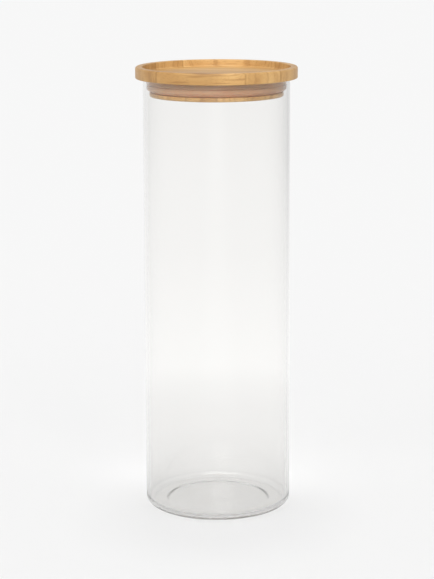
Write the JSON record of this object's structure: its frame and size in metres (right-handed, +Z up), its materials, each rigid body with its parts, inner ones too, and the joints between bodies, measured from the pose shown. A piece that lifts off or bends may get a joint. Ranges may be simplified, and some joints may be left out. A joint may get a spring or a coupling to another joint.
{
  "type": "lidded glass canister",
  "caption": "Tall straight glass storage jar with a flat bamboo lid: a raised-rim tray top over a plug whose silicone seal grips the mouth.",
  "frame": {"origin": "centre of the flat ring the jar stands on", "axes": "+Z up along the jar's axis, towards the lid; -Y is the side the picture shows"},
  "size_m": [0.11, 0.11, 0.3047],
  "materials": {
    "clear_glass": "clear, fire-polished",
    "bamboo": "sanded, thin satin lacquer",
    "milky_silicone": "translucent, satin"
  },
  "bodies": {
    "jar": {"glass_jar": "clear_glass"},
    "seal": {"silicone_seal": "milky_silicone"},
    "lid": {"lid_tray_strip_1": "bamboo", "lid_tray_strip_2": "bamboo", "lid_tray_strip_3": "bamboo", "lid_tray_strip_4": "bamboo", "lid_tray_strip_5": "bamboo", "lid_tray_strip_6": "bamboo", "lid_plug_strip_1": "bamboo", "lid_plug_strip_2": "bamboo", "lid_plug_strip_3": "bamboo", "lid_plug_strip_4": "bamboo", "lid_plug_strip_5": "bamboo"}
  },
  "joints": [
    {"name": "lid_lift", "type": "slide", "parent": "jar", "child": "seal", "axis": [0, 0, 1], "range_m": [0, 0.035]},
    {"name": "lid_turn", "type": "hinge", "parent": "seal", "child": "lid", "pos_m": [0, 0, 0.2969], "axis": [0, 0, 1], "continuous": true}
  ]
}
